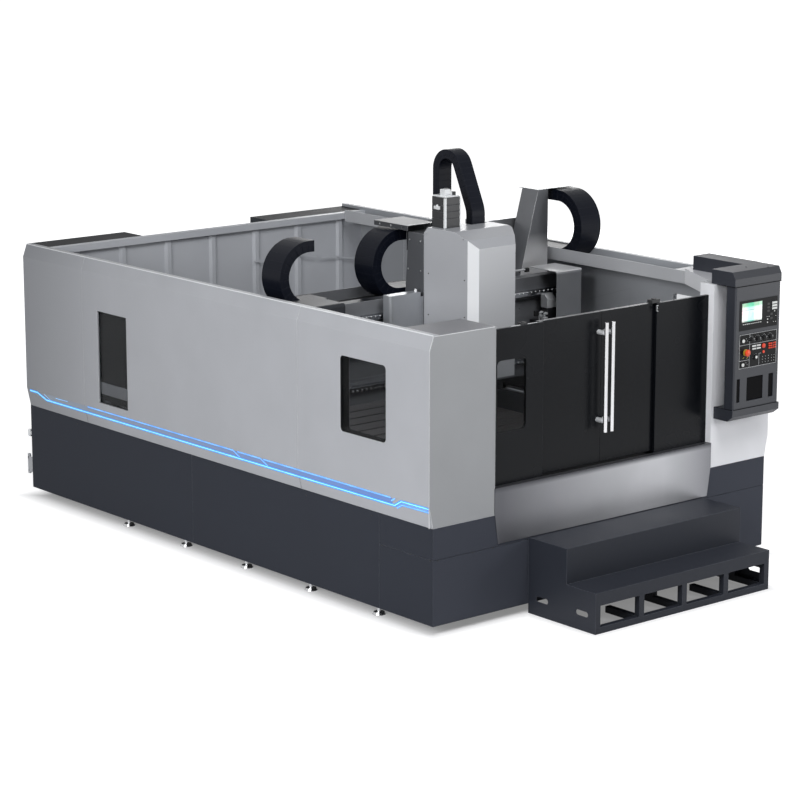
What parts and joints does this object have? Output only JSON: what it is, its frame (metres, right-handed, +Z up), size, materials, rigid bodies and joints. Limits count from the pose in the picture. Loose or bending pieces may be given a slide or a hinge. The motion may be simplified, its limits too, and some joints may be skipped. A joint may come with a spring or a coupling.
{
  "type": "cnc machining center",
  "caption": "Moving-gantry machining centre: walled bed with T-slot table, crossbeam with saddle and vertical head, cable chains, sliding doors, step and control pendant.",
  "frame": {"origin": "on the floor under the middle of the whole footprint, step and rear fittings included", "axes": "+X to the operator's right, +Y from the operator's side to the back, +Z up"},
  "size_m": [3.603, 6.258, 3.25],
  "materials": {
    "wall_grey": "satin",
    "panel_light": "satin",
    "panel_mid": "satin",
    "inner_grey": "satin",
    "cabinet_grey": "satin",
    "skirt_dark": "satin",
    "door_dark": "satin",
    "apron_steel": "brushed",
    "handle_chrome": "polished",
    "bed_iron": "machined",
    "beam_dark": "painted",
    "rail_steel": "ground",
    "cover_grey": "satin",
    "head_light": "satin",
    "motor_black": "matt",
    "sheet_steel": "zinc plated",
    "chain_plastic": "matt",
    "pane_dark": "smoked",
    "strip_blue": "lit",
    "pendant_grey": "satin",
    "bezel_black": "matt",
    "screen_black": "gloss",
    "knob_black": "matt",
    "button_green": "gloss",
    "button_white": "gloss",
    "estop_red": "gloss",
    "foot_steel": "polished"
  },
  "bodies": {
    "frame": {"bed": "bed_iron", "work_table": "bed_iron", "levelling_feet": "foot_steel", "gantry_rails": "rail_steel", "gantry_drives": "motor_black", "skirt_panels": "skirt_dark", "wall_left": "wall_grey", "wall_right": "inner_grey", "wall_back": "inner_grey", "rear_cabinets": "cabinet_grey", "rear_fittings": "sheet_steel", "window_panes": "pane_dark", "panel_front_left": "panel_mid", "panel_front_right": "panel_light", "light_strip": "strip_blue", "apron": "apron_steel", "door_tracks": "door_dark", "door_fixed": "door_dark", "step_platform": "skirt_dark", "chain_trough": "panel_light", "pendant_arm": "pendant_grey", "pendant_housing": "pendant_grey", "pendant_panel": "bezel_black", "pendant_screen": "screen_black"},
    "gantry": {"crossbeam": "beam_dark", "gantry_legs": "beam_dark", "leg_covers": "cover_grey", "beam_rails": "rail_steel", "cross_motor": "motor_black", "chain_tray": "sheet_steel", "chain_bracket": "cover_grey", "junction_box": "cover_grey", "parked_chain": "chain_plastic", "long_chain_run": "chain_plastic"},
    "saddle": {"saddle": "beam_dark", "saddle_box": "sheet_steel", "head_cover": "head_light", "chain_shelf": "sheet_steel", "z_motor": "motor_black", "cross_chain_run": "chain_plastic"},
    "ram": {"ram": "bed_iron"},
    "spindle": {"spindle": "rail_steel"},
    "z_screw": {"z_ball_screw": "rail_steel"},
    "cross_screw": {"cross_ball_screw": "rail_steel"},
    "left_screw": {"left_ball_screw": "rail_steel"},
    "right_screw": {"right_ball_screw": "rail_steel"},
    "door_left": {"door_left": "door_dark", "handle_left": "handle_chrome"},
    "door_right": {"door_right": "door_dark", "handle_right": "handle_chrome"},
    "long_chain": {"long_chain": "chain_plastic"},
    "cross_chain": {"cross_chain": "chain_plastic"},
    "head_chain": {"head_chain": "chain_plastic"},
    "mode_knob": {"mode_knob": "knob_black"},
    "feed_knob": {"feed_knob": "knob_black"},
    "speed_knob": {"speed_knob": "knob_black"},
    "rapid_knob": {"rapid_knob": "knob_black"},
    "start_button": {"start_button": "button_green"},
    "stop_button": {"stop_button": "button_white"},
    "estop_button": {"estop_button": "estop_red"}
  },
  "joints": [
    {"name": "gantry_travel", "type": "slide", "parent": "frame", "child": "gantry", "axis": [0, 1, 0], "range_m": [-0.5, 2.3], "deforming": ["long_chain_run"]},
    {"name": "cross_travel", "type": "slide", "parent": "gantry", "child": "saddle", "axis": [1, 0, 0], "range_m": [-0.76, 0.78], "deforming": ["cross_chain_run"]},
    {"name": "ram_travel", "type": "slide", "parent": "saddle", "child": "ram", "axis": [0, 0, 1], "range_m": [-0.54, 0]},
    {"name": "spindle_turn", "type": "hinge", "parent": "ram", "child": "spindle", "pos_m": [-0.013, -0.674, 1.56], "axis": [0, 0, 1], "continuous": true},
    {"name": "left_screw_turn", "type": "hinge", "parent": "frame", "child": "left_screw", "pos_m": [-1.281, -2.038, 1.04], "axis": [0, 1, 0], "continuous": true},
    {"name": "right_screw_turn", "type": "hinge", "parent": "frame", "child": "right_screw", "pos_m": [1.281, -2.038, 1.04], "axis": [0, 1, 0], "continuous": true},
    {"name": "cross_screw_turn", "type": "hinge", "parent": "gantry", "child": "cross_screw", "pos_m": [-1.1, -0.398, 1.69], "axis": [1, 0, 0], "continuous": true},
    {"name": "z_screw_turn", "type": "hinge", "parent": "saddle", "child": "z_screw", "pos_m": [-0.124, -0.6315, 1.84], "axis": [0, 0, 1], "continuous": true},
    {"name": "long_chain_roll", "type": "slide", "parent": "gantry", "child": "long_chain", "axis": [0, 1, 0], "range_m": [-1.15, 0.25], "deforming": ["long_chain"]},
    {"name": "cross_chain_roll", "type": "slide", "parent": "saddle", "child": "cross_chain", "axis": [1, 0, 0], "range_m": [-0.39, 0.39], "deforming": ["cross_chain"]},
    {"name": "head_chain_roll", "type": "slide", "parent": "saddle", "child": "head_chain", "axis": [0, 0, 1], "range_m": [-0.27, 0], "deforming": ["head_chain"]},
    {"name": "left_door_slide", "type": "slide", "parent": "frame", "child": "door_left", "axis": [-1, 0, 0], "range_m": [0, 0.48]},
    {"name": "right_door_slide", "type": "slide", "parent": "frame", "child": "door_right", "axis": [1, 0, 0], "range_m": [0, 0.48]},
    {"name": "mode_knob_turn", "type": "hinge", "parent": "frame", "child": "mode_knob", "pos_m": [1.3535, -2.598, 1.866], "axis": [0, 1, 0], "range_deg": [-150, 150]},
    {"name": "feed_knob_turn", "type": "hinge", "parent": "frame", "child": "feed_knob", "pos_m": [1.4255, -2.598, 1.866], "axis": [0, 1, 0], "range_deg": [-150, 150]},
    {"name": "speed_knob_turn", "type": "hinge", "parent": "frame", "child": "speed_knob", "pos_m": [1.4975, -2.598, 1.866], "axis": [0, 1, 0], "range_deg": [-150, 150]},
    {"name": "rapid_knob_turn", "type": "hinge", "parent": "frame", "child": "rapid_knob", "pos_m": [1.5695, -2.598, 1.866], "axis": [0, 1, 0], "range_deg": [-150, 150]},
    {"name": "start_button_press", "type": "slide", "parent": "frame", "child": "start_button", "axis": [0, 1, 0], "range_m": [0, 0.004], "stiffness_N_per_m": 600},
    {"name": "stop_button_press", "type": "slide", "parent": "frame", "child": "stop_button", "axis": [0, 1, 0], "range_m": [0, 0.004], "stiffness_N_per_m": 600},
    {"name": "estop_button_press", "type": "slide", "parent": "frame", "child": "estop_button", "axis": [0, 1, 0], "range_m": [0, 0.006], "stiffness_N_per_m": 1500}
  ],
  "couplings": [
    {"joint": "left_screw_turn", "follows": "gantry_travel", "rad_per_m": 157.08},
    {"joint": "right_screw_turn", "follows": "gantry_travel", "rad_per_m": 157.08},
    {"joint": "long_chain_roll", "follows": "gantry_travel", "ratio": -0.5},
    {"joint": "cross_screw_turn", "follows": "cross_travel", "rad_per_m": 251.33},
    {"joint": "cross_chain_roll", "follows": "cross_travel", "ratio": -0.5},
    {"joint": "z_screw_turn", "follows": "ram_travel", "rad_per_m": 314.16},
    {"joint": "head_chain_roll", "follows": "ram_travel", "ratio": 0.5}
  ]
}
